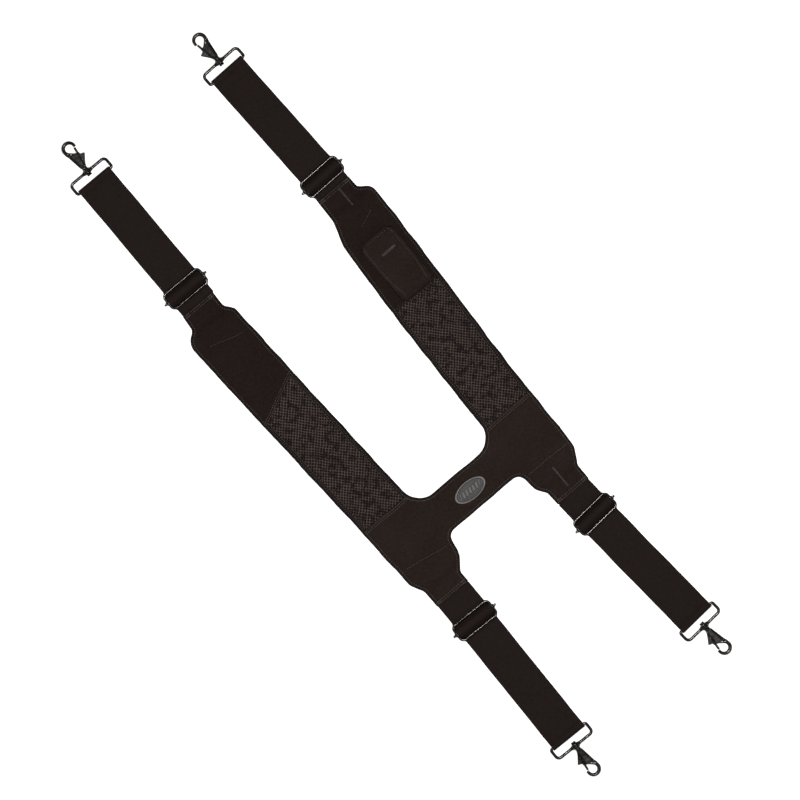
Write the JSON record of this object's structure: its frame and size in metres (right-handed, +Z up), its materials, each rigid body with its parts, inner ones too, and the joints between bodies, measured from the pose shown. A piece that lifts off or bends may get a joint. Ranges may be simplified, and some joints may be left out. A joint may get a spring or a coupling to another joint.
{
  "type": "tool belt suspenders",
  "caption": "Padded H-shaped work suspenders with adjustable webbing straps, wire slide adjusters, swivel snap hooks and a flapped phone pocket.",
  "frame": {"origin": "middle of the footprint on the surface they lie on", "axes": "+Y along the straps towards the front hooks, +Z up out of the outer face, +X towards the wearer's phone-pocket side"},
  "size_m": [0.3053, 1.0405, 0.0184],
  "materials": {
    "shell_fabric": "matt woven nylon",
    "air_mesh": "knitted spacer mesh",
    "lining": "brushed tricot",
    "foam": "closed-cell foam",
    "edge_tape": "woven binding tape",
    "pocket_fabric": "matt woven nylon",
    "webbing": "woven polypropylene webbing",
    "hook_and_loop": "hook-and-loop tape",
    "badge_rubber": "moulded soft badge",
    "black_nickel": "black nickel plate",
    "spring_steel": "bright"
  },
  "bodies": {
    "yoke": {"lining_left": "lining", "lining_right": "lining", "lining_bridge": "lining", "foam_core": "foam", "edge_binding": "edge_tape", "chest_panel_left": "shell_fabric", "chest_panel_right": "shell_fabric", "mesh_panel_left": "air_mesh", "mesh_panel_right": "air_mesh", "yoke_panel": "shell_fabric", "strap_tails": "webbing", "badge": "badge_rubber", "phone_pouch": "pocket_fabric", "pouch_patch": "hook_and_loop"},
    "pocket_flap": {"phone_flap": "pocket_fabric", "flap_patch": "hook_and_loop"},
    "front_left_slider": {"front_left_slider_frame": "black_nickel", "front_left_slider_bar": "black_nickel", "front_left_strap_wrap": "webbing", "front_left_strap_neck": "webbing", "front_left_strap_doubled": "webbing"},
    "front_left_strap_end": {"front_left_strap_loop": "webbing"},
    "front_left_ring": {"front_left_ring": "black_nickel"},
    "front_left_hook": {"front_left_hook_body": "black_nickel", "front_left_gate_pin": "black_nickel", "front_left_gate_spring": "spring_steel"},
    "front_left_gate": {"front_left_gate": "black_nickel"},
    "front_right_slider": {"front_right_slider_frame": "black_nickel", "front_right_slider_bar": "black_nickel", "front_right_strap_wrap": "webbing", "front_right_strap_neck": "webbing", "front_right_strap_doubled": "webbing"},
    "front_right_strap_end": {"front_right_strap_loop": "webbing"},
    "front_right_ring": {"front_right_ring": "black_nickel"},
    "front_right_hook": {"front_right_hook_body": "black_nickel", "front_right_gate_pin": "black_nickel", "front_right_gate_spring": "spring_steel"},
    "front_right_gate": {"front_right_gate": "black_nickel"},
    "back_left_slider": {"back_left_slider_frame": "black_nickel", "back_left_slider_bar": "black_nickel", "back_left_strap_wrap": "webbing", "back_left_strap_neck": "webbing", "back_left_strap_doubled": "webbing"},
    "back_left_strap_end": {"back_left_strap_loop": "webbing"},
    "back_left_ring": {"back_left_ring": "black_nickel"},
    "back_left_hook": {"back_left_hook_body": "black_nickel", "back_left_gate_pin": "black_nickel", "back_left_gate_spring": "spring_steel"},
    "back_left_gate": {"back_left_gate": "black_nickel"},
    "back_right_slider": {"back_right_slider_frame": "black_nickel", "back_right_slider_bar": "black_nickel", "back_right_strap_wrap": "webbing", "back_right_strap_neck": "webbing", "back_right_strap_doubled": "webbing"},
    "back_right_strap_end": {"back_right_strap_loop": "webbing"},
    "back_right_ring": {"back_right_ring": "black_nickel"},
    "back_right_hook": {"back_right_hook_body": "black_nickel", "back_right_gate_pin": "black_nickel", "back_right_gate_spring": "spring_steel"},
    "back_right_gate": {"back_right_gate": "black_nickel"}
  },
  "joints": [
    {"name": "front_left_slider", "type": "slide", "parent": "yoke", "child": "front_left_slider", "axis": [0.0076, 1, 0], "range_m": [-0.0035, 0.15], "deforming": ["front_left_strap_neck"]},
    {"name": "front_left_strap", "type": "slide", "parent": "front_left_slider", "child": "front_left_strap_end", "axis": [0.0076, 1, 0], "range_m": [-0.075, 0.00175], "deforming": ["front_left_strap_doubled"]},
    {"name": "front_left_ring", "type": "hinge", "parent": "front_left_strap_end", "child": "front_left_ring", "pos_m": [-0.10926, 0.4624, 0.0045], "axis": [1, -0.0076, 0], "range_deg": [-130, 130]},
    {"name": "front_left_hook", "type": "hinge", "parent": "front_left_ring", "child": "front_left_hook", "pos_m": [-0.10914, 0.4776, 0.0045], "axis": [0.0076, 1, 0], "continuous": true},
    {"name": "front_left_gate", "type": "hinge", "parent": "front_left_hook", "child": "front_left_gate", "pos_m": [-0.10463, 0.49257, 0.0045], "axis": [0, 0, 1], "range_deg": [0, 21], "stiffness_Nm_per_rad": 0.02, "springref_deg": -14.32, "deforming": ["front_left_gate_spring"]},
    {"name": "front_right_slider", "type": "slide", "parent": "yoke", "child": "front_right_slider", "axis": [-0.0225, 0.9997, 0], "range_m": [-0.0035, 0.15], "deforming": ["front_right_strap_neck"]},
    {"name": "front_right_strap", "type": "slide", "parent": "front_right_slider", "child": "front_right_strap_end", "axis": [-0.0225, 0.9997, 0], "range_m": [-0.075, 0.00175], "deforming": ["front_right_strap_doubled"]},
    {"name": "front_right_ring", "type": "hinge", "parent": "front_right_strap_end", "child": "front_right_ring", "pos_m": [0.10747, 0.46, 0.0045], "axis": [0.9997, 0.0225, 0], "range_deg": [-130, 130]},
    {"name": "front_right_hook", "type": "hinge", "parent": "front_right_ring", "child": "front_right_hook", "pos_m": [0.10713, 0.4752, 0.0045], "axis": [-0.0225, 0.9997, 0], "continuous": true},
    {"name": "front_right_gate", "type": "hinge", "parent": "front_right_hook", "child": "front_right_gate", "pos_m": [0.10239, 0.4901, 0.0045], "axis": [0, 0, -1], "range_deg": [0, 21], "stiffness_Nm_per_rad": 0.02, "springref_deg": -14.32, "deforming": ["front_right_gate_spring"]},
    {"name": "back_left_slider", "type": "slide", "parent": "yoke", "child": "back_left_slider", "axis": [-0.0267, -0.9996, 0], "range_m": [-0.015, 0.15], "deforming": ["back_left_strap_neck"]},
    {"name": "back_left_strap", "type": "slide", "parent": "back_left_slider", "child": "back_left_strap_end", "axis": [-0.0267, -0.9996, 0], "range_m": [-0.075, 0.0075], "deforming": ["back_left_strap_doubled"]},
    {"name": "back_left_ring", "type": "hinge", "parent": "back_left_strap_end", "child": "back_left_ring", "pos_m": [-0.1092, -0.4559, 0.0045], "axis": [-0.9996, 0.0267, 0], "range_deg": [-130, 130]},
    {"name": "back_left_hook", "type": "hinge", "parent": "back_left_ring", "child": "back_left_hook", "pos_m": [-0.1096, -0.4711, 0.0045], "axis": [-0.0267, -0.9996, 0], "continuous": true},
    {"name": "back_left_gate", "type": "hinge", "parent": "back_left_hook", "child": "back_left_gate", "pos_m": [-0.1144, -0.48597, 0.0045], "axis": [0, 0, 1], "range_deg": [0, 21], "stiffness_Nm_per_rad": 0.02, "springref_deg": -14.32, "deforming": ["back_left_gate_spring"]},
    {"name": "back_right_slider", "type": "slide", "parent": "yoke", "child": "back_right_slider", "axis": [0.0681, -0.9977, 0], "range_m": [-0.015, 0.15], "deforming": ["back_right_strap_neck"]},
    {"name": "back_right_strap", "type": "slide", "parent": "back_right_slider", "child": "back_right_strap_end", "axis": [0.0681, -0.9977, 0], "range_m": [-0.075, 0.0075], "deforming": ["back_right_strap_doubled"]},
    {"name": "back_right_ring", "type": "hinge", "parent": "back_right_strap_end", "child": "back_right_ring", "pos_m": [0.11038, -0.44642, 0.0045], "axis": [-0.9977, -0.0681, 0], "range_deg": [-130, 130]},
    {"name": "back_right_hook", "type": "hinge", "parent": "back_right_ring", "child": "back_right_hook", "pos_m": [0.11142, -0.46158, 0.0045], "axis": [0.0681, -0.9977, 0], "continuous": true},
    {"name": "back_right_gate", "type": "hinge", "parent": "back_right_hook", "child": "back_right_gate", "pos_m": [0.10805, -0.47685, 0.0045], "axis": [0, 0, 1], "range_deg": [0, 21], "stiffness_Nm_per_rad": 0.02, "springref_deg": -14.32, "deforming": ["back_right_gate_spring"]},
    {"name": "pocket_flap", "type": "hinge", "parent": "yoke", "child": "pocket_flap", "pos_m": [0.1126, 0.092, 0.01345], "axis": [1, 0, 0], "range_deg": [0, 176]}
  ],
  "couplings": [
    {"joint": "front_left_strap", "follows": "front_left_slider", "ratio": -0.5},
    {"joint": "front_right_strap", "follows": "front_right_slider", "ratio": -0.5},
    {"joint": "back_left_strap", "follows": "back_left_slider", "ratio": -0.5},
    {"joint": "back_right_strap", "follows": "back_right_slider", "ratio": -0.5}
  ]
}
